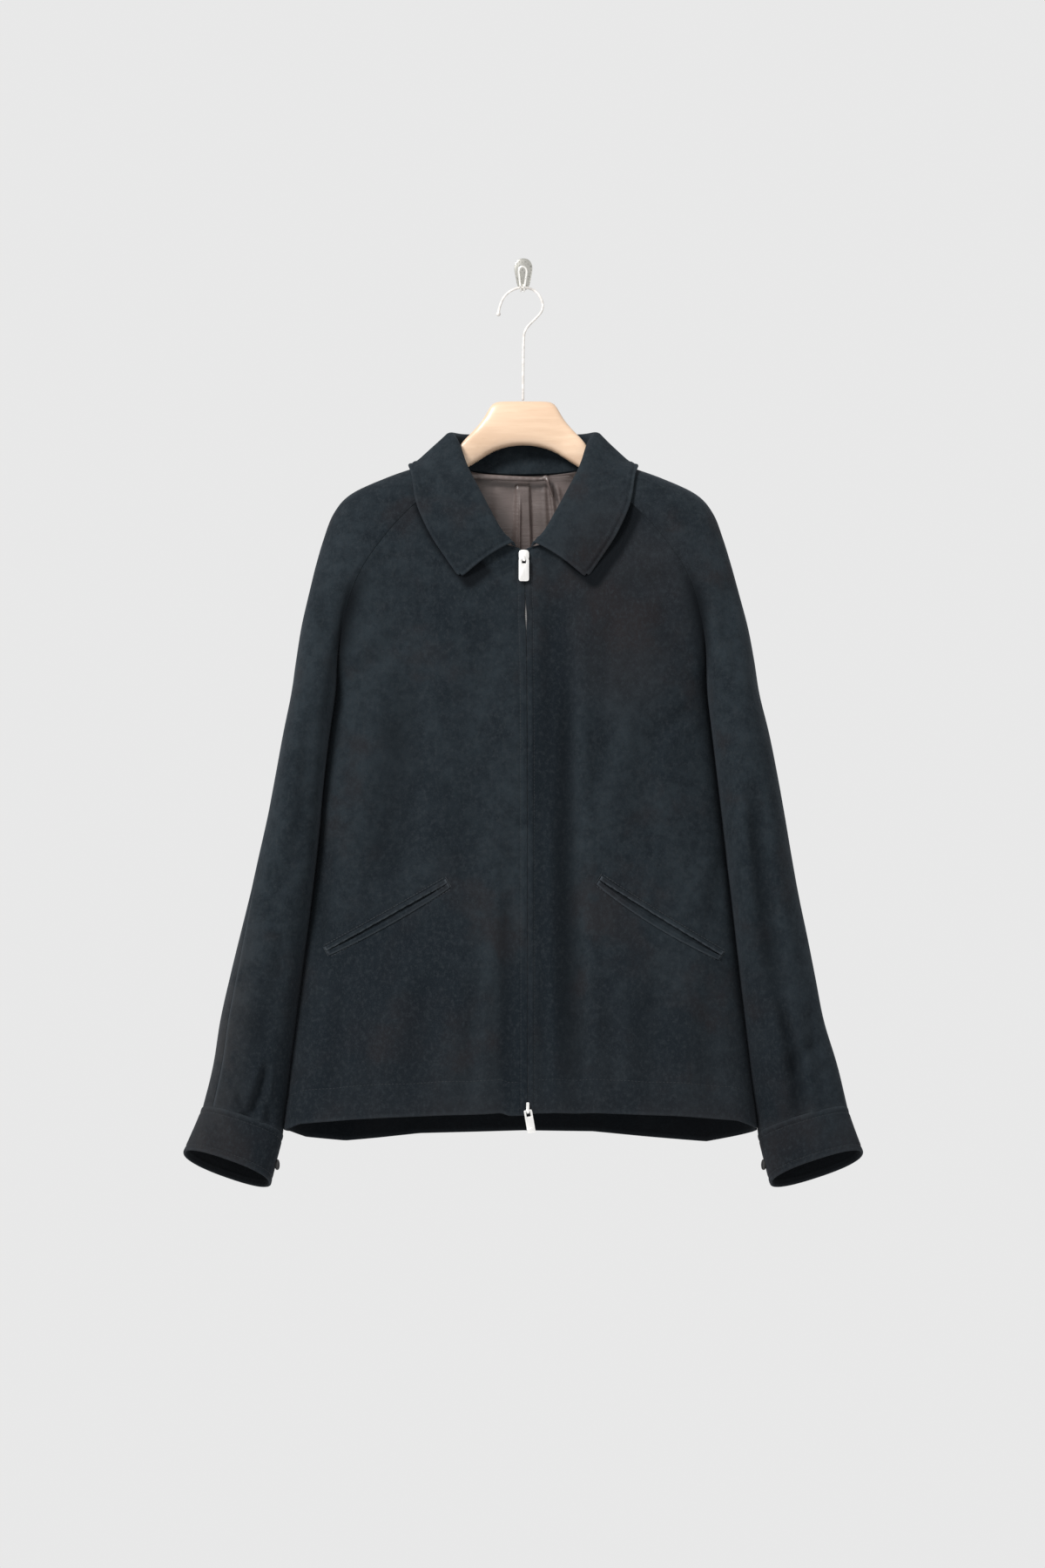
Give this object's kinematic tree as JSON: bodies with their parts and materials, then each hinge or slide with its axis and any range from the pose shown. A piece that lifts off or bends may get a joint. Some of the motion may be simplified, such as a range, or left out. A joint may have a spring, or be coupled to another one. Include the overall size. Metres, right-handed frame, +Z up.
{
  "type": "suede jacket on a clothes hanger and wall hook",
  "caption": "Dark navy suede jacket with raglan sleeves, shirt collar and concealed zip, hanging closed on a pale wooden hanger from a small wall hook.",
  "frame": {"origin": "middle of the wall plate's back face, where the wall holds it", "axes": "+Z up, +X to the viewer's right, +Y into the wall, the front faces -Y"},
  "size_m": [0.682, 0.1255, 0.9525],
  "materials": {
    "suede": "napped matte",
    "lining": "satin",
    "tape": "matte",
    "zip_metal": "satin",
    "button": "satin",
    "hanger_maple": "clear lacquer",
    "hook_wire": "polished",
    "wall_metal": "worn nickel"
  },
  "bodies": {
    "jacket": {"front_left": "suede", "front_right": "suede", "back": "suede", "sleeve_front_left": "suede", "sleeve_front_right": "suede", "sleeve_back_left": "suede", "sleeve_back_right": "suede", "collar": "suede", "cuff_left": "suede", "cuff_right": "suede", "pocket_left_welt_upper": "suede", "pocket_left_welt_lower": "suede", "pocket_right_welt_upper": "suede", "pocket_right_welt_lower": "suede", "lining_back": "lining", "hanger_loop": "lining", "zip_tape_left": "tape", "zip_tape_right": "tape", "zip_slider_top": "zip_metal", "zip_slider_bottom": "zip_metal", "cuff_button_left": "button", "cuff_button_right": "button", "hanger_wood": "hanger_maple", "hanger_hook": "hook_wire", "wall_hook_wire": "wall_metal", "wall_plate": "wall_metal"},
    "pull_top": {"zip_pull_top": "zip_metal"},
    "pull_bottom": {"zip_pull_bottom": "zip_metal"}
  },
  "joints": [
    {"name": "top_pull_swing", "type": "hinge", "parent": "jacket", "child": "pull_top", "pos_m": [0.0005, -0.09572, -0.3055], "axis": [-1, 0, 0], "range_deg": [0, 150]},
    {"name": "bottom_pull_swing", "type": "hinge", "parent": "jacket", "child": "pull_bottom", "pos_m": [0.0044, -0.12284, -0.865], "axis": [-0.9848, 0, -0.1736], "range_deg": [0, 150]}
  ]
}
